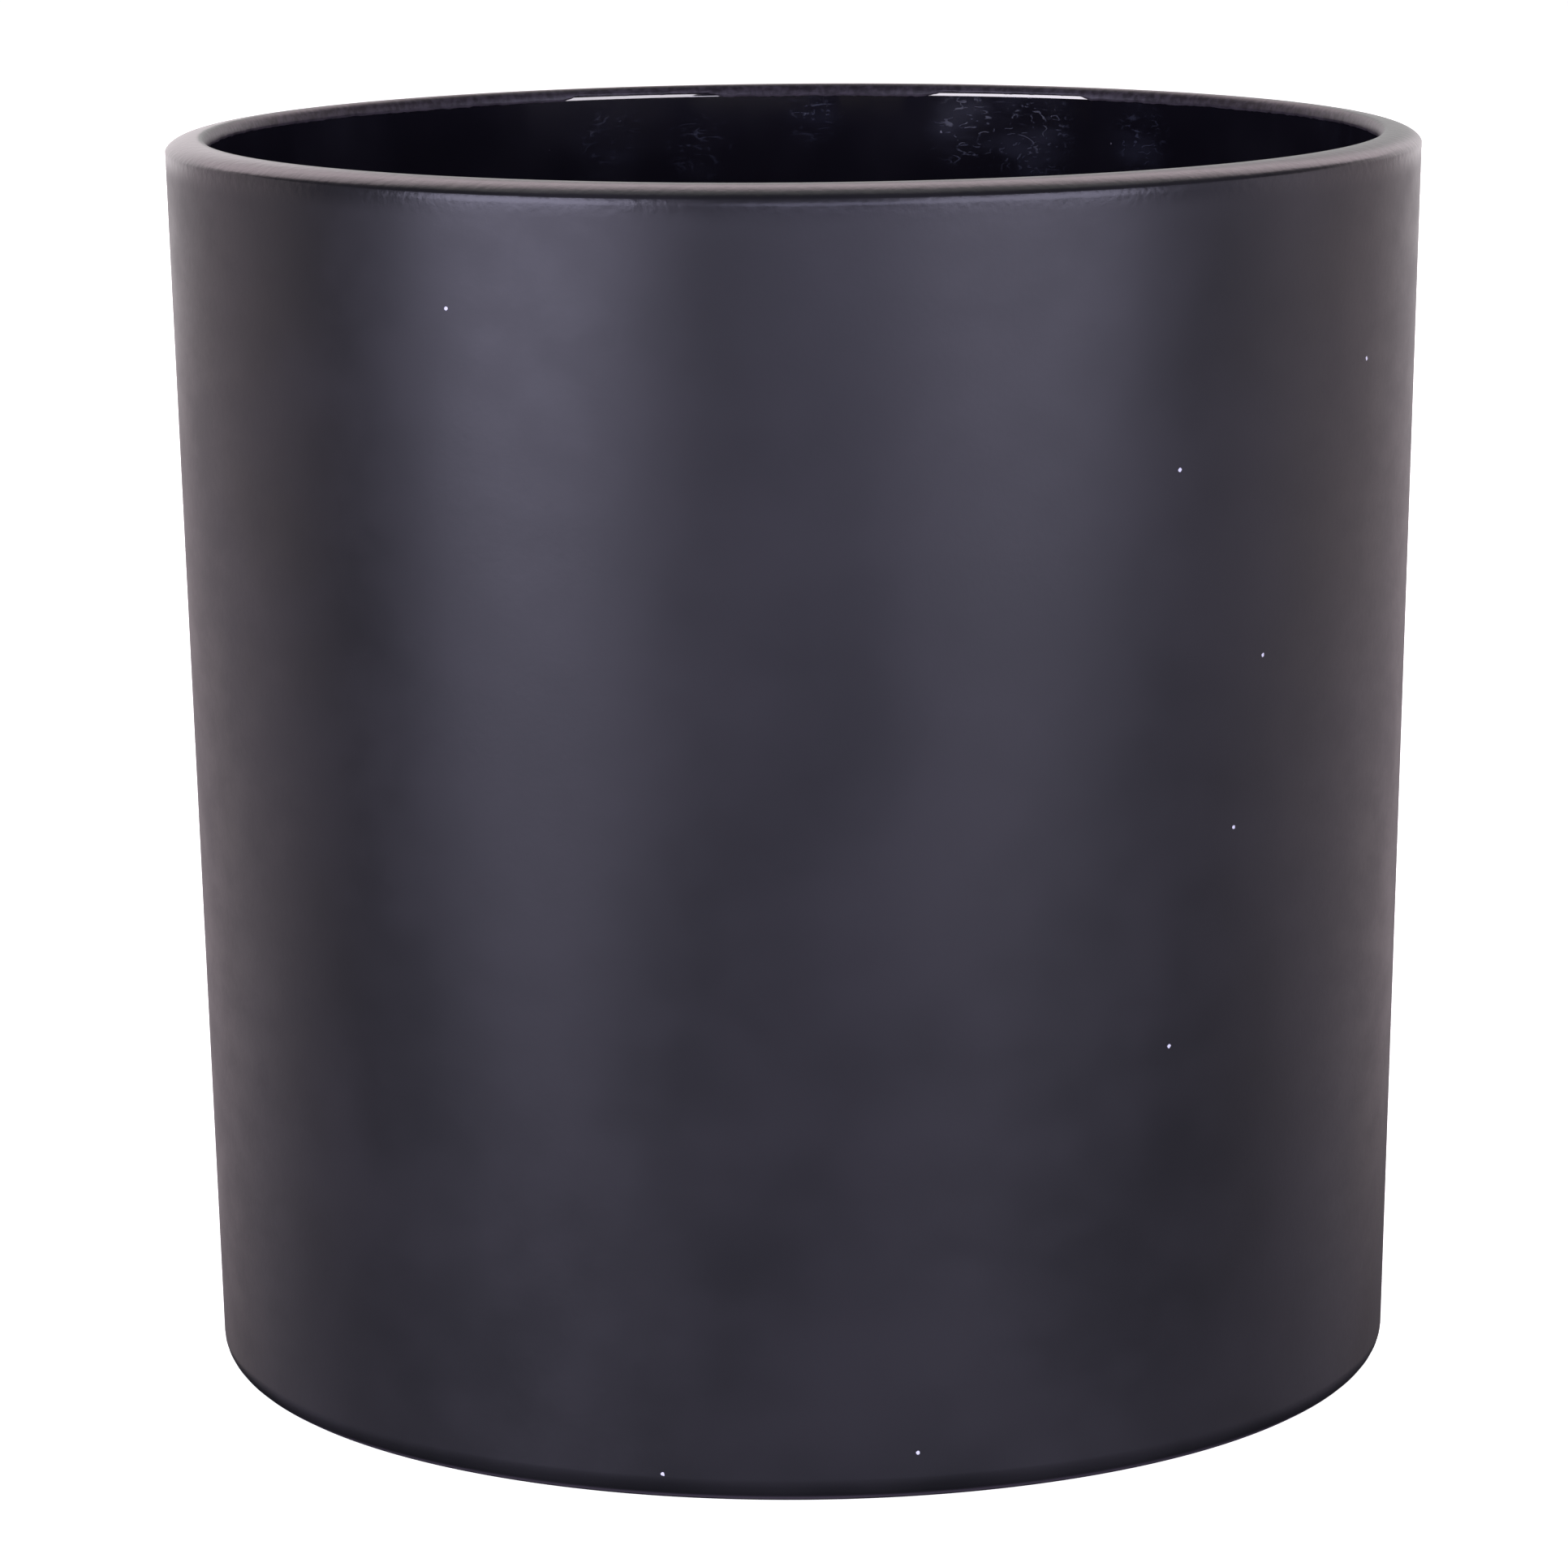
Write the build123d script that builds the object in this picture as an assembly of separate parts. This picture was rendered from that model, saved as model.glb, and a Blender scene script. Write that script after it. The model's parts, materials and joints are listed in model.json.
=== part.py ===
from build123d import *
from math import acos, atan2, cos, degrees, hypot, tan
import os

# Empty round candle jar: a pressed glass vessel with a matte lacquer film on its outside.
# Millimetres, +Z up, origin on the axis at the level of the surface that the jar stands on.

# Overall size, over the lacquer
HEIGHT = 89.6
RIM_RADIUS = 45.0            # outer wall, carried up to the top of the rim
FOOT_RADIUS = 42.86          # outer wall, carried down to the standing surface

# Lacquer film
FILM = 0.12
FILM_START = -64.0           # degrees: where the film ends on the heel, short of the bearing ring
FILM_END = 172.0             # degrees: where the film ends on the rim's inner rounding

# Glass edges
HEEL_RADIUS = 1.9
RIM_OUTER_WIDTH = 2.32       # the rim's outer rounding is part of an ellipse, wider than high
RIM_OUTER_DEPTH = 0.96
RIM_CUT = 0.04               # the wall cuts this much off the outer rounding, leaving a faint edge
RIM_INNER_DEPTH = 0.8        # the inner rounding takes up the rest of the wall's thickness

# Inside of the glass
MOUTH_RADIUS = 42.1
MOUTH_LAND = 10.0            # straight cylindrical stretch below the rim's rounding
INNER_FOOT_RADIUS = 39.7     # inner wall, carried down to the inner floor
FLOOR_LEVEL = 7.6
FLOOR_CORNER_RADIUS = 7.0
LAND_BLEND_RADIUS = 30.0     # where the straight land turns into the tapered wall

# Underside of the glass
RING_INNER_RADIUS = 36.0     # inner edge of the flat ring that the jar stands on
PUNT_RADIUS = 34.4           # edge of the shallow dome inside the ring
PUNT_LEDGE = 0.6             # narrow flat between the dome and the step down to the ring
PUNT_STEP = 0.8
PUNT_RISE = 0.7              # extra height of the dome between its edge and its centre
PUNT_EDGE_RADIUS = 0.6

# Derived sizes
TAPER = atan2(RIM_RADIUS - FOOT_RADIUS, HEIGHT)
TAPER_DEG = degrees(TAPER)
GLASS_HEIGHT = HEIGHT - FILM
DOME_RADIUS = (PUNT_RADIUS**2 + PUNT_RISE**2) / (2 * PUNT_RISE)
RIM_CENTRE_Z = GLASS_HEIGHT - RIM_OUTER_DEPTH


def wall_radius(z, inset):
    """Radius of the lacquered wall at height z, moved inwards by inset at right angles to it."""
    return FOOT_RADIUS + z * tan(TAPER) - inset / cos(TAPER)


# Radius of the rim's highest circle, where its outer and inner roundings meet
CROWN_RADIUS = wall_radius(RIM_CENTRE_Z, FILM) + RIM_CUT - RIM_OUTER_WIDTH


def outer_rim(offset):
    """Outer rounding of the rim, from where the tapered wall cuts it to the crown."""
    width = RIM_OUTER_WIDTH + offset
    depth = RIM_OUTER_DEPTH + offset
    reach = wall_radius(RIM_CENTRE_Z, FILM - offset) - CROWN_RADIUS
    lean = atan2(depth * tan(TAPER), width)
    start = degrees(acos(reach / hypot(width, depth * tan(TAPER))) - lean)
    return EllipticalCenterArc((CROWN_RADIUS, RIM_CENTRE_Z), width, depth, start, arc_size=90 - start)


def inner_rim(offset, end):
    """Inner rounding of the rim, from the crown down to the angle end."""
    width = CROWN_RADIUS - MOUTH_RADIUS + offset
    depth = RIM_INNER_DEPTH + offset
    centre = (CROWN_RADIUS, GLASS_HEIGHT - RIM_INNER_DEPTH)
    return EllipticalCenterArc(centre, width, depth, 90, arc_size=end - 90)


def skin(offset, start, end):
    """Outline of the outside, offset outwards from the glass, from heel over wall and rim.

    start and end are the angles at which the heel's arc begins and the inner rim's arc stops,
    from the outward horizontal towards +Z.
    """
    heel_centre = (wall_radius(HEEL_RADIUS, HEEL_RADIUS + FILM), HEEL_RADIUS)
    heel = CenterArc(heel_centre, HEEL_RADIUS + offset, start, -TAPER_DEG - start)
    outer = outer_rim(offset)
    wall = Line(heel @ 1, outer @ 0)
    return [heel, wall, outer, inner_rim(offset, end)]


def lathe(edges):
    """Solid of revolution about Z from the edges of a half section."""
    return revolve(Plane.XZ * make_face(edges), Axis.Z)


def glass_vessel():
    """Glass body: outside, rim, inner wall and floor, and the push-up under the base."""
    outside = skin(0, -90, 180)
    inside = FilletPolyline(
        outside[-1] @ 1,
        (MOUTH_RADIUS, GLASS_HEIGHT - RIM_INNER_DEPTH - MOUTH_LAND),
        (INNER_FOOT_RADIUS, FLOOR_LEVEL),
        (0, FLOOR_LEVEL),
        radius=[LAND_BLEND_RADIUS, FLOOR_CORNER_RADIUS],
    )
    dome = RadiusArc((0, PUNT_STEP + PUNT_RISE), (PUNT_RADIUS, PUNT_STEP), DOME_RADIUS)
    step = FilletPolyline(
        dome @ 1,
        (PUNT_RADIUS + PUNT_LEDGE, PUNT_STEP),
        (RING_INNER_RADIUS, 0),
        outside[0] @ 0,
        radius=[PUNT_EDGE_RADIUS, PUNT_EDGE_RADIUS],
    )
    axis = Line(inside @ 1, dome @ 0)
    return lathe([*outside, inside, axis, dome, step])


def matte_coating():
    """Lacquer film on the heel, the outer wall and the rim."""
    under = skin(0, FILM_START, FILM_END)
    over = skin(FILM, FILM_START, FILM_END)
    foot_end = Line(under[0] @ 0, over[0] @ 0)
    rim_end = Line(under[-1] @ 1, over[-1] @ 1)
    return lathe([*under, *over, foot_end, rim_end])


os.makedirs("parts", exist_ok=True)
export_step(glass_vessel(), "parts/glass_vessel.step")
export_step(matte_coating(), "parts/matte_coating.step")
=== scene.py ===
import json
from math import acos, asin, atan2, cos, degrees, hypot, pi, radians, sin, tan

import bpy
from mathutils import Matrix, Vector, noise


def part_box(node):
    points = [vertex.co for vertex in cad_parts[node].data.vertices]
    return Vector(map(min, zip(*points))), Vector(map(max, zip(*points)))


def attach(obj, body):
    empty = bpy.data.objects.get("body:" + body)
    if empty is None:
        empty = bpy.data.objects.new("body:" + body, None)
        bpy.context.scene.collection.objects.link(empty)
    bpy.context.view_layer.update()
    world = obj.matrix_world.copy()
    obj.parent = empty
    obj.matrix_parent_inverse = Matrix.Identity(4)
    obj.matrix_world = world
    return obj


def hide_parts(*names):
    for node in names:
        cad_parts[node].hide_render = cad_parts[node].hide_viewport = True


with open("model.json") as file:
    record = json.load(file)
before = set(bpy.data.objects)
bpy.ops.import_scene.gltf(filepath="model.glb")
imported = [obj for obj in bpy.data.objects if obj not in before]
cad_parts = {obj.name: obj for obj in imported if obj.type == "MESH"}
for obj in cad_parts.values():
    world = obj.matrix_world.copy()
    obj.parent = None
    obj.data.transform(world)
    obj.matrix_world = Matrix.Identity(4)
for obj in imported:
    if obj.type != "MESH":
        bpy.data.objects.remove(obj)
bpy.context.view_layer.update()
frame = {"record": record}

# Metres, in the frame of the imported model: +Z up, the jar standing on z = 0 with its axis on Z.

MM = 0.001

# Sizes that the frame gives
MOUNTS = {mount["name"]: mount["dims"] for mount in frame["record"]["mounts"]}
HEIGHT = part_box("matte_coating")[1].z
GLASS_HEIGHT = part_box("glass_vessel")[1].z
FILM = HEIGHT - GLASS_HEIGHT
MOUTH_RADIUS = MOUNTS["mouth"]["r_mm"] * MM
MOUTH_LAND = MOUNTS["mouth"]["length_mm"] * MM      # straight stretch below the rim's rounding

# Outside of the jar, over the lacquer
RIM_RADIUS = 44.99 * MM          # carried up to the top of the rim; a hair inside the CAD's wall
FOOT_RADIUS = 42.86 * MM         # carried down to the standing surface
TAPER = atan2(RIM_RADIUS - FOOT_RADIUS, HEIGHT)

# Edges of the glass
HEEL_RADIUS = 1.9 * MM
RIM_OUTER_WIDTH = 2.32 * MM      # the outer rounding is part of an ellipse, wider than high
RIM_OUTER_DEPTH = 0.96 * MM
RIM_CUT = 0.04 * MM              # the wall cuts this much off the rounding, leaving a faint edge
RIM_INNER_DEPTH = 0.8 * MM
ROWS_BELOW_RIM = [1.2 * MM, 0.45 * MM]   # rows of the wall that keep its shading flat up to the edge

# Lacquer film: where it ends, in degrees on the heel and on the rim's inner rounding
FILM_START = -64
FILM_END = 179
FILM_SHORT_END = 158             # in the stretches where the spray caught less of the rounding
SHORT_STRETCHES = [(-24.5, -8.3), (15.1, 32.6)]   # degrees round the mouth, from +Y towards +X
SHORT_FADE = 1.5                 # degrees over which such a stretch begins and ends
END_WANDER = [(7 * MM, 3), (0.9 * MM, 4), (0.35 * MM, 3)]   # size along the edge, reach in degrees
FILM_EDGE = 0.55                 # share of its thickness that the film keeps at its ragged edge
FILM_EDGE_REACH = 2              # degrees from its full thickness to that edge
FILM_UNDER = 0.01 * MM           # gap between the film's hidden side and the glass

# Inside of the glass
INNER_FOOT_RADIUS = 39.7 * MM
FLOOR_LEVEL = 7.6 * MM
FLOOR_CORNER_RADIUS = 7.0 * MM

# Underside of the glass
RING_INNER_RADIUS = 36.0 * MM
RING_SOFTENING = 0.2 * MM        # the ring's inner edge is eased over this width
PUNT_RADIUS = 34.4 * MM          # edge of the shallow dome inside the ring
PUNT_STEP = 0.8 * MM             # height of the dome's edge above the ring
PUNT_STEP_WIDTH = 0.6 * MM       # the step slopes down over this width
PUNT_RISE = 0.7 * MM             # extra height of the dome between its edge and its centre
STEP_TOP_DROP = 0.05 * MM        # the step starts this far below the dome's edge
STEP_FOOT_LIFT = 0.03 * MM       # and ends this far above the ring

# Segments round the axis; the film's ragged edge needs more
GLASS_SEGMENTS = 720
FILM_SEGMENTS = 2160


# ---------------------------------------------------------------- outlines

def arc(centre, width, depth, start, end, steps):
    """Points of an elliptical arc in the half section; degrees, from outwards towards up."""
    turns = [radians(start + (end - start) * i / steps) for i in range(steps + 1)]
    return [(centre[0] + width * cos(t), centre[1] + depth * sin(t)) for t in turns]


def wall_radius(z, inset):
    """Radius of the lacquered wall at height z, moved inwards by inset at right angles to it."""
    return FOOT_RADIUS + z * tan(TAPER) - inset / cos(TAPER)


# The rim's highest circle, where its outer and inner roundings meet
RIM_CENTRE_Z = GLASS_HEIGHT - RIM_OUTER_DEPTH
CROWN_RADIUS = wall_radius(RIM_CENTRE_Z, FILM) + RIM_CUT - RIM_OUTER_WIDTH


def heel(offset, start, steps):
    """Rounding between the underside and the wall, from the angle start up to the wall."""
    centre = (wall_radius(HEEL_RADIUS, HEEL_RADIUS + FILM), HEEL_RADIUS)
    radius = HEEL_RADIUS + offset
    return arc(centre, radius, radius, start, -degrees(TAPER), steps)


def outer_rim(offset, steps):
    """The wall's last stretch, then the outer rounding from where the wall cuts it to the crown."""
    width = RIM_OUTER_WIDTH + offset
    depth = RIM_OUTER_DEPTH + offset
    reach = wall_radius(RIM_CENTRE_Z, FILM - offset) - CROWN_RADIUS
    start = acos(reach / hypot(width, depth * tan(TAPER))) - atan2(depth * tan(TAPER), width)
    corner = RIM_CENTRE_Z + depth * sin(start)
    rows = [corner - drop for drop in ROWS_BELOW_RIM]
    wall = [(wall_radius(z, FILM - offset), z) for z in rows]
    return wall + arc((CROWN_RADIUS, RIM_CENTRE_Z), width, depth, degrees(start), 90, steps)


def inner_rim(offset, end, steps):
    """Inner rounding from just past the crown to the angle end; past 180 it runs straight down."""
    width = CROWN_RADIUS - MOUTH_RADIUS + offset
    depth = RIM_INNER_DEPTH + offset
    points = []
    for i in range(1, steps + 1):
        t = radians(90 + (end - 90) * i / steps)
        drop = sin(t) if t < pi else pi - t
        z = GLASS_HEIGHT - RIM_INNER_DEPTH + depth * drop
        points.append((CROWN_RADIUS + width * cos(min(t, pi)), z))
    return points


def underside():
    """From the middle of the dome over its edge and the step down onto the bearing ring."""
    dome_radius = (PUNT_RADIUS**2 + PUNT_RISE**2) / (2 * PUNT_RISE)
    reach = degrees(asin(PUNT_RADIUS / dome_radius))
    dome_centre = (0, PUNT_STEP + PUNT_RISE - dome_radius)
    dome = arc(dome_centre, dome_radius, dome_radius, 90, 90 - reach, steps=10)
    dome[0] = (0, PUNT_STEP + PUNT_RISE)    # exactly on the axis
    step_top = (RING_INNER_RADIUS - PUNT_STEP_WIDTH, PUNT_STEP - STEP_TOP_DROP)
    step_foot = (RING_INNER_RADIUS, STEP_FOOT_LIFT)
    return dome + [step_top, step_foot, (RING_INNER_RADIUS + RING_SOFTENING, 0)]


def inside():
    """From the end of the mouth's straight land down the tapered wall to the floor's middle."""
    land_end = GLASS_HEIGHT - RIM_INNER_DEPTH - MOUTH_LAND
    lean = atan2(MOUTH_RADIUS - INNER_FOOT_RADIUS, land_end - FLOOR_LEVEL)
    radius = FLOOR_CORNER_RADIUS
    centre = (INNER_FOOT_RADIUS - radius * (1 - tan(lean)), FLOOR_LEVEL + radius)
    corner = arc(centre, radius, radius, -degrees(lean), -90, steps=16)
    return [(MOUTH_RADIUS, land_end)] + corner + [(0, FLOOR_LEVEL)]


def glass_outline(angle):
    """Half section of the glass, from the middle of the dome to the middle of the inner floor.
    It is the same at every angle."""
    skin = heel(0, -90, steps=10) + outer_rim(0, steps=14) + inner_rim(0, 180, steps=10)
    return underside() + skin + inside()


def short_share(angle):
    """How much of the film's full reach is missing at an angle: 0 for none, 1 in a short stretch."""
    turn = (90 - degrees(angle) + 180) % 360 - 180
    into = [min(turn - first, last - turn) for first, last in SHORT_STRETCHES]
    return min(1, max(0, max(into) / SHORT_FADE + 0.5))


def ragged_end(angle):
    """Angle at which the sprayed film stops on the inner rounding, wandering round the mouth."""
    spot = Vector((MOUTH_RADIUS * cos(angle), MOUTH_RADIUS * sin(angle), 0))
    end = FILM_END + (FILM_SHORT_END - FILM_END) * short_share(angle)
    for size, reach in END_WANDER:
        end += reach * noise.noise(spot / size)
    return end


def film_outline(angle):
    """Closed half section of the film, thinning towards its ragged edge inside the rim."""
    end = ragged_end(angle)
    over = heel(FILM, FILM_START, steps=6) + outer_rim(FILM, steps=14)
    over += inner_rim(FILM, end, steps=8)
    edge = inner_rim(FILM * FILM_EDGE, end + FILM_EDGE_REACH, steps=8)[-1:]
    under = heel(FILM_UNDER, FILM_START, steps=3) + outer_rim(FILM_UNDER, steps=3)
    under += inner_rim(FILM_UNDER, end + FILM_EDGE_REACH / 2, steps=3)
    return over + edge + under[::-1]


# ---------------------------------------------------------------- meshes

def lathe(name, outline, segments):
    """Mesh of an outline turned round Z. outline(angle) gives the same number of (r, z) points
    at every angle. It starts and ends on the axis, or else it closes on itself."""
    rings = [outline(2 * pi * s / segments) for s in range(segments)]
    rows = len(rings[0])
    closed = rings[0][0][0] > 0
    verts = []
    index = {}
    for row in range(rows):
        on_axis = rings[0][row][0] == 0
        for s in range(segments):
            if s == 0 or not on_axis:
                r, z = rings[s][row]
                t = 2 * pi * s / segments
                verts.append((r * cos(t), r * sin(t), z))
            index[s, row] = len(verts) - 1

    faces = []
    for row in range(rows if closed else rows - 1):
        up = (row + 1) % rows
        for s in range(segments):
            turn = (s + 1) % segments
            corners = [index[s, row], index[turn, row], index[turn, up], index[s, up]]
            faces.append(list(dict.fromkeys(corners)))

    mesh = bpy.data.meshes.new(name)
    mesh.from_pydata(verts, [], faces)
    mesh.polygons.foreach_set("use_smooth", [True] * len(mesh.polygons))
    mesh.validate()
    obj = bpy.data.objects.new(name, mesh)
    bpy.context.scene.collection.objects.link(obj)
    return obj


# ---------------------------------------------------------------- material nodes

class Surface:
    """A Principled material with short calls for the procedural nodes that feed it."""

    def __init__(self, name):
        self.material = bpy.data.materials.new(name)
        self.material.use_nodes = True
        self.tree = self.material.node_tree
        self.shader = self.tree.nodes["Principled BSDF"]
        self.place = self.node("TexCoord").outputs["Object"]

    def node(self, kind, **settings):
        """New node of a kind, with its settings."""
        made = self.tree.nodes.new("ShaderNode" + kind)
        for key, value in settings.items():
            setattr(made, key, value)
        return made

    def feed(self, socket, value):
        """Link an output to a socket, or set the socket to a plain value."""
        if isinstance(value, bpy.types.NodeSocket):
            self.tree.links.new(value, socket)
        else:
            socket.default_value = value

    def math(self, operation, a, b=0.0, clamp=False):
        """Result of an operation on one or two numbers."""
        made = self.node("Math", operation=operation, use_clamp=clamp)
        self.feed(made.inputs[0], a)
        self.feed(made.inputs[1], b)
        return made.outputs[0]

    def noise(self, size, detail=2.0, place=None):
        """Smooth noise from 0 to 1 with features of about the given size in metres."""
        made = self.node("TexNoise")
        self.feed(made.inputs["Vector"], place or self.place)
        made.inputs["Scale"].default_value = 1 / size
        made.inputs["Detail"].default_value = detail
        return made.outputs["Fac"]

    def stretch(self, scale):
        """Object coordinates scaled along X, Y and Z."""
        made = self.node("Mapping")
        self.feed(made.inputs["Vector"], self.place)
        made.inputs["Scale"].default_value = scale
        return made.outputs["Vector"]

    def remap(self, value, low, high, to_low=0.0, to_high=1.0):
        """Smooth step from to_low to to_high as the value goes from low to high."""
        made = self.node("MapRange", interpolation_type="SMOOTHSTEP")
        self.feed(made.inputs["Value"], value)
        made.inputs["From Min"].default_value = low
        made.inputs["From Max"].default_value = high
        made.inputs["To Min"].default_value = to_low
        made.inputs["To Max"].default_value = to_high
        return made.outputs["Result"]

    def blend(self, factor, first, second):
        """Colour between two colours; sockets 6 and 7 are the node's colours A and B."""
        made = self.node("Mix", data_type="RGBA")
        self.feed(made.inputs["Factor"], factor)
        self.feed(made.inputs[6], first)
        self.feed(made.inputs[7], second)
        return made.outputs[2]

    def level(self, factor, first, second):
        """Number between two numbers; sockets 2 and 3 are the node's numbers A and B."""
        made = self.node("Mix", data_type="FLOAT")
        self.feed(made.inputs["Factor"], factor)
        self.feed(made.inputs[2], first)
        self.feed(made.inputs[3], second)
        return made.outputs[0]

    def distance(self, spot):
        """Distance from a point."""
        made = self.node("VectorMath", operation="DISTANCE")
        self.feed(made.inputs[0], self.place)
        made.inputs[1].default_value = spot
        return made.outputs["Value"]

    def height(self):
        """Height above the standing surface."""
        made = self.node("SeparateXYZ")
        self.feed(made.inputs[0], self.place)
        return made.outputs["Z"]

    def axis_distance(self):
        """Distance from the jar's axis."""
        made = self.node("VectorMath", operation="LENGTH")
        self.feed(made.inputs[0], self.stretch((1.0, 1.0, 0.0)))
        return made.outputs["Value"]

    def specks(self, spots, radius):
        """Mask of small ragged dots at the given places."""
        ragged = self.noise(radius, detail=1.0)
        mask = 0.0
        for spot in spots:
            far = self.math("MULTIPLY", self.distance(spot), 1 / radius)
            dot = self.remap(self.math("SUBTRACT", far, ragged), 0.1, 0.5, 1.0, 0.0)
            mask = self.math("MAXIMUM", mask, dot)
        return mask

    def hairlines(self, size, width, place):
        """Mask of thin curved lines: where smooth noise crosses its middle value."""
        level = self.noise(size, detail=1.0, place=place)
        off = self.math("ABSOLUTE", self.math("SUBTRACT", level, 0.5))
        return self.remap(off, width * 0.3, width, 1.0, 0.0)

    def patches(self, spots):
        """Mask of soft patches, each given as its point, radius and strength."""
        mask = 0.0
        for spot, radius, strength in spots:
            patch = self.remap(self.distance(spot), radius * 0.25, radius, strength, 0.0)
            mask = self.math("MAXIMUM", mask, patch)
        return mask

    def dust(self, spacing, radius, share):
        """Mask of sparse motes: one in a share of the cells of a pattern."""
        cells = self.node("TexVoronoi")
        self.feed(cells.inputs["Vector"], self.place)
        cells.inputs["Scale"].default_value = 1 / spacing
        reach = radius / spacing
        near = self.remap(cells.outputs["Distance"], reach * 0.5, reach, 1.0, 0.0)
        pick = self.node("SeparateXYZ")
        self.feed(pick.inputs[0], cells.outputs["Color"])
        chosen = self.math("LESS_THAN", pick.outputs["X"], share)
        return self.math("MULTIPLY", near, chosen)

    def bump(self, height, distance, normal=None):
        """Normal of a relief, where a height of 1 is a distance in metres, over another normal."""
        made = self.node("Bump")
        made.inputs["Distance"].default_value = distance
        self.feed(made.inputs["Height"], height)
        if normal is not None:
            self.feed(made.inputs["Normal"], normal)
        return made.outputs["Normal"]


def on_wall(angle, z):
    """Point of the lacquered wall; angle in degrees from the front towards +X."""
    r = wall_radius(z, 0)
    a = radians(angle)
    return (r * sin(a), -r * cos(a), z)


def on_inner_wall(angle, z):
    """Point close to the glass's inner wall; angle in degrees from the back towards +X."""
    r = INNER_FOOT_RADIUS + (MOUTH_RADIUS - INNER_FOOT_RADIUS) * z / HEIGHT
    a = radians(angle)
    return (r * sin(a), r * cos(a), z)


# Dust: angle from the front for the wall, from the back for the mouth, and height in millimetres
WALL_SPECKS = [
    (-30.9, 81.1), (62, 75.2), (35.1, 69.7), (45.7, 56.2),
    (42.4, 44.6), (35.1, 30.1), (10.4, 3.5), (-12.9, 2.0),
]
MOUTH_SPECKS = [(-26.9, 85.0), (16.0, 85.9), (17.9, 85.3), (35.8, 85.4)]

# Faint wipe marks inside the mouth: point, radius and strength
MOUTH_HAZE = [
    (on_inner_wall(19, 86 * MM), 4 * MM, 1.0),
    (on_inner_wall(26, 86 * MM), 5 * MM, 0.8),
    (on_inner_wall(39.5, 85.7 * MM), 3.5 * MM, 0.6),
    (on_inner_wall(-20, 85.5 * MM), 4 * MM, 0.35),
    (on_inner_wall(-10, 85 * MM), 3.5 * MM, 0.35),
    (on_inner_wall(2, 87.3 * MM), 3 * MM, 0.5),
]


# Colours of the lacquer: the cloudy wall, the thin overspray inside the rim, its lip, and dust
LACQUER_DARK = (0.0085, 0.0085, 0.0088, 1)
LACQUER_LIGHT = (0.0135, 0.013, 0.0138, 1)
OVERSPRAY_DARK = (0.016, 0.013, 0.016, 1)
OVERSPRAY_LIGHT = (0.044, 0.037, 0.045, 1)
LIP_COLOUR = (0.07, 0.06, 0.07, 1)
LACQUER_DUST = (0.62, 0.62, 0.66, 1)

# Colours of the glass: its faint smears, the wipe marks, and dust
GLASS_DARK = (0.0055, 0.005, 0.0075, 1)
GLASS_LIGHT = (0.0095, 0.009, 0.0125, 1)
HAZE_COLOUR = (0.05, 0.055, 0.08, 1)
GLASS_DUST = (0.5, 0.5, 0.55, 1)

# Roughness; a pair is the range over which it varies
LACQUER_ROUGHNESS = (0.365, 0.435)
RIM_ROUGHNESS = 0.28
OVERSPRAY_ROUGHNESS = 0.42
GLASS_ROUGHNESS = (0.03, 0.07)
HAZE_ROUGHNESS = 0.16


def matte_black_lacquer():
    """Cloudy satin black, smoother round the rim, and paler and mottled on the rim's inner rounding,
    palest along its lowest band.
    """
    s = Surface("matte_black_lacquer")
    cloud = s.noise(14 * MM, detail=3.0)
    smudge = s.noise(4.5 * MM, place=s.stretch((1.0, 1.0, 1.6)))
    spray = s.noise(0.5 * MM, detail=3.0)
    grain = s.noise(0.16 * MM)
    at_rim = s.remap(s.height(), HEIGHT - 2.6 * MM, HEIGHT - 1.0 * MM)
    inner_side = (CROWN_RADIUS - 0.45 * MM, CROWN_RADIUS - 0.1 * MM)
    overspray = s.remap(s.axis_distance(), *inner_side, 1.0, 0.0)
    lip = s.remap(s.height(), HEIGHT - 0.95 * MM, HEIGHT - 0.75 * MM, 1.0, 0.0)
    specks = s.specks([on_wall(a, z * MM) for a, z in WALL_SPECKS], radius=0.16 * MM)
    dust = s.dust(spacing=9 * MM, radius=0.11 * MM, share=0.3)
    white = s.math("MAXIMUM", specks, dust, clamp=True)

    plain = s.blend(s.remap(cloud, 0.3, 0.7), LACQUER_DARK, LACQUER_LIGHT)
    inner_rim_tone = s.blend(s.remap(spray, 0.35, 0.65), OVERSPRAY_DARK, OVERSPRAY_LIGHT)
    pale = s.blend(lip, inner_rim_tone, LIP_COLOUR)
    tone = s.blend(overspray, plain, pale)
    s.feed(s.shader.inputs["Base Color"], s.blend(white, tone, LACQUER_DUST))

    mottle = s.math("ADD", s.math("MULTIPLY", cloud, 0.4), s.math("MULTIPLY", smudge, 0.4))
    mottle = s.math("ADD", mottle, s.math("MULTIPLY", spray, 0.2))
    satin = s.level(at_rim, s.remap(mottle, 0.32, 0.68, *LACQUER_ROUGHNESS), RIM_ROUGHNESS)
    s.feed(s.shader.inputs["Roughness"], s.level(overspray, satin, OVERSPRAY_ROUGHNESS))
    s.shader.inputs["Specular IOR Level"].default_value = 0.28

    wave = s.bump(s.noise(24 * MM, detail=1.0), distance=120e-6)
    peel = s.bump(s.math("ADD", s.math("MULTIPLY", grain, 0.4), spray), distance=5e-6, normal=wave)
    runs = s.math("MULTIPLY", s.noise(0.7 * MM, detail=3.0), at_rim)
    s.feed(s.shader.inputs["Normal"], s.bump(runs, distance=30e-6, normal=peel))
    return s.material


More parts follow.
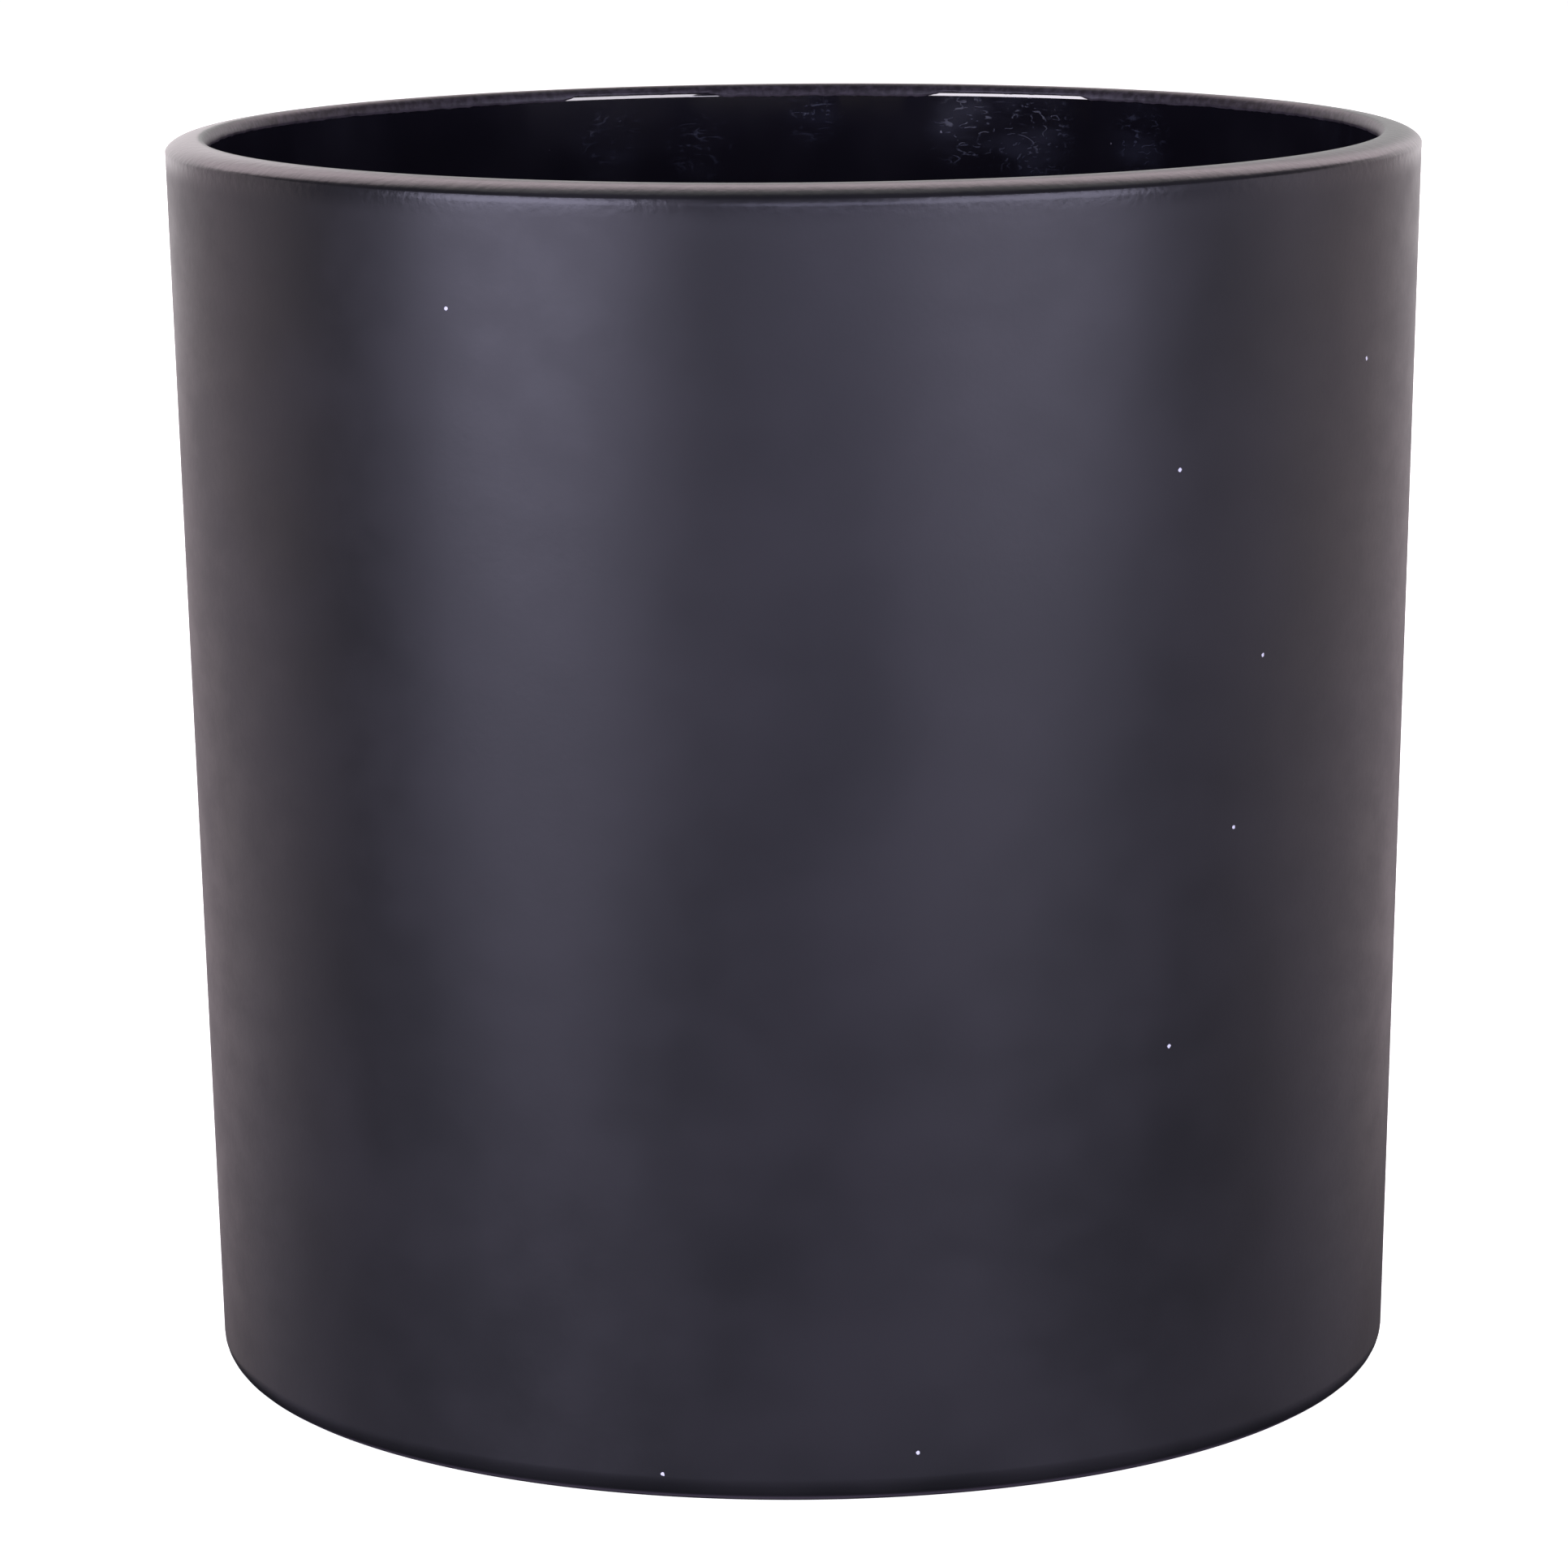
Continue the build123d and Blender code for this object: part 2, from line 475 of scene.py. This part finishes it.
def black_glass():
    """Glossy black glass with faint smears, wipe marks inside the mouth and a little dust."""
    s = Surface("black_glass")
    smear = s.noise(11 * MM, detail=4.0)
    drawn_out = s.stretch((0.3, 1.0, 1.3))
    veil = s.remap(s.noise(3.0 * MM, detail=4.0, place=drawn_out), 0.35, 0.8, 0.0, 0.4)
    short_gaps = s.remap(s.noise(0.6 * MM), 0.45, 0.65)
    short = s.math("MULTIPLY", s.hairlines(0.7 * MM, 0.05, drawn_out), short_gaps)
    long_gaps = s.remap(s.noise(1.5 * MM), 0.5, 0.65)
    long = s.math("MULTIPLY", s.hairlines(1.9 * MM, 0.016, drawn_out), long_gaps)
    strokes = s.math("MAXIMUM", veil, s.math("MAXIMUM", short, long))
    haze = s.math("MULTIPLY", strokes, s.patches(MOUTH_HAZE))
    specks = s.specks([on_inner_wall(a, z * MM) for a, z in MOUTH_SPECKS], radius=0.14 * MM)
    dust = s.dust(spacing=12 * MM, radius=0.09 * MM, share=0.3)
    white = s.math("MAXIMUM", specks, dust, clamp=True)

    clean = s.blend(s.remap(smear, 0.35, 0.7), GLASS_DARK, GLASS_LIGHT)
    hazy = s.blend(haze, clean, HAZE_COLOUR)
    s.feed(s.shader.inputs["Base Color"], s.blend(white, hazy, GLASS_DUST))

    polish = s.remap(smear, 0.35, 0.75, *GLASS_ROUGHNESS)
    s.feed(s.shader.inputs["Roughness"], s.level(haze, polish, HAZE_ROUGHNESS))
    s.shader.inputs["IOR"].default_value = 1.52
    s.shader.inputs["Specular IOR Level"].default_value = 1.0
    s.shader.inputs["Specular Tint"].default_value = (1.0, 0.98, 0.8, 1)

    wave = s.bump(s.noise(18 * MM, detail=1.0), distance=25e-6)
    s.feed(s.shader.inputs["Normal"], s.bump(s.noise(2.4 * MM), distance=1.2e-6, normal=wave))
    return s.material


# ---------------------------------------------------------------- pieces

glass = lathe("glass_vessel_body", glass_outline, GLASS_SEGMENTS)
glass.data.materials.append(black_glass())
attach(glass, "root")
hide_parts("glass_vessel")

film = lathe("lacquer_film", film_outline, FILM_SEGMENTS)
film.data.materials.append(matte_black_lacquer())
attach(film, "root")
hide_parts("matte_coating")


# ---------------------------------------------------------------- camera

CAMERA_DISTANCE = 441.8 * MM     # level distance from the jar's axis
CAMERA_HEIGHT = 126.1 * MM
CAMERA_PITCH = radians(10.82)
CAMERA_YAW = radians(-0.136)
CAMERA_ROLL = radians(-0.48)
CAMERA_LENS = 140.8              # millimetres, for a sensor 36 mm wide


def camera():
    """Camera in front of the jar, close to the photograph's viewpoint."""
    data = bpy.data.cameras.new("camera")
    data.sensor_width = 36
    data.lens = CAMERA_LENS
    data.clip_start = 0.01
    data.clip_end = 50
    obj = bpy.data.objects.new("camera", data)
    bpy.context.scene.collection.objects.link(obj)
    aim = Matrix.Rotation(-CAMERA_YAW, 4, "Z") @ Matrix.Rotation(pi / 2 - CAMERA_PITCH, 4, "X")
    place = Matrix.Translation((0, -CAMERA_DISTANCE, CAMERA_HEIGHT))
    obj.matrix_world = place @ aim @ Matrix.Rotation(CAMERA_ROLL, 4, "Z")
    bpy.context.scene.camera = obj


camera()


# ---------------------------------------------------------------- lights

def softbox(name, azimuth, elevation, width, height, radiance, colour=(1, 1, 1)):
    """Area light a metre from the jar's middle, facing it. Azimuth 0 is the camera's side and 90 is
    +X, in degrees; width and height are in metres. The camera doesn't see the light itself."""
    data = bpy.data.lights.new(name, "AREA")
    data.shape = "RECTANGLE"
    data.size = width
    data.size_y = height
    data.energy = radiance * pi * width * height
    data.color = colour
    obj = bpy.data.objects.new(name, data)
    bpy.context.scene.collection.objects.link(obj)
    a = radians(azimuth)
    e = radians(elevation)
    out = Vector((sin(a) * cos(e), -cos(a) * cos(e), sin(e)))
    obj.location = Vector((0, 0, HEIGHT / 2)) + out
    obj.rotation_euler = out.to_track_quat("Z", "Y").to_euler()
    obj.visible_camera = False


COOL = (0.77, 0.74, 1.0)
COLD = (0.71, 0.69, 1.0)
WARM = (1.0, 0.85, 0.91)

softbox("left_box", -47.5, 5, 0.72, 0.5, 12.2, COOL)
softbox("right_box", 41.5, 6, 0.74, 0.5, 9.5, COOL)
softbox("front_low", 5.5, 2, 0.57, 0.15, 10.3, COLD)
softbox("right_side", 90, 5, 0.6, 0.6, 0.6, COOL)
softbox("left_wall", -135, 3.5, 1.54, 0.86, 0.86, WARM)
softbox("right_wall", 126, 4.5, 1.61, 0.84, 0.9, WARM)
softbox("back_top", 184, 43, 1.42, 0.6, 2.5, WARM)
softbox("overhead", 180, 75, 1.2, 0.5, 1.0)
softbox("rear", 180, 8, 1.6, 0.5, 0.9)
softbox("table_front", 0, -24, 1.5, 0.3, 0.5, COOL)
softbox("table_left", -100, -24, 1.2, 0.3, 0.35, COOL)
softbox("table_right", 100, -24, 1.2, 0.3, 0.25, COOL)


# ---------------------------------------------------------------- stage

def floor():
    """White sweep that glows just enough to be plain white and casts nothing on the jar."""
    reach = 6.0
    corners = [(-reach, -reach, 0), (reach, -reach, 0), (reach, reach, 0), (-reach, reach, 0)]
    mesh = bpy.data.meshes.new("floor")
    mesh.from_pydata(corners, [], [(0, 1, 2, 3)])
    obj = bpy.data.objects.new("floor", mesh)
    bpy.context.scene.collection.objects.link(obj)
    s = Surface("white_sweep")
    s.shader.inputs["Base Color"].default_value = (0.8, 0.8, 0.8, 1)
    s.shader.inputs["Emission Color"].default_value = (1, 1, 1, 1)
    s.shader.inputs["Emission Strength"].default_value = 1.0
    mesh.materials.append(s.material)
    obj.visible_diffuse = False
    obj.visible_glossy = False
    obj.visible_shadow = False


floor()


def studio():
    """Plain white behind everything, for the camera alone; the softboxes light the jar."""
    world = bpy.data.worlds.new("studio")
    world.use_nodes = True
    world.node_tree.nodes["Background"].inputs["Color"].default_value = (1, 1, 1, 1)
    world.cycles_visibility.diffuse = False
    world.cycles_visibility.glossy = False
    world.cycles_visibility.transmission = False
    bpy.context.scene.world = world
    bpy.context.scene.view_settings.view_transform = "Standard"


studio()
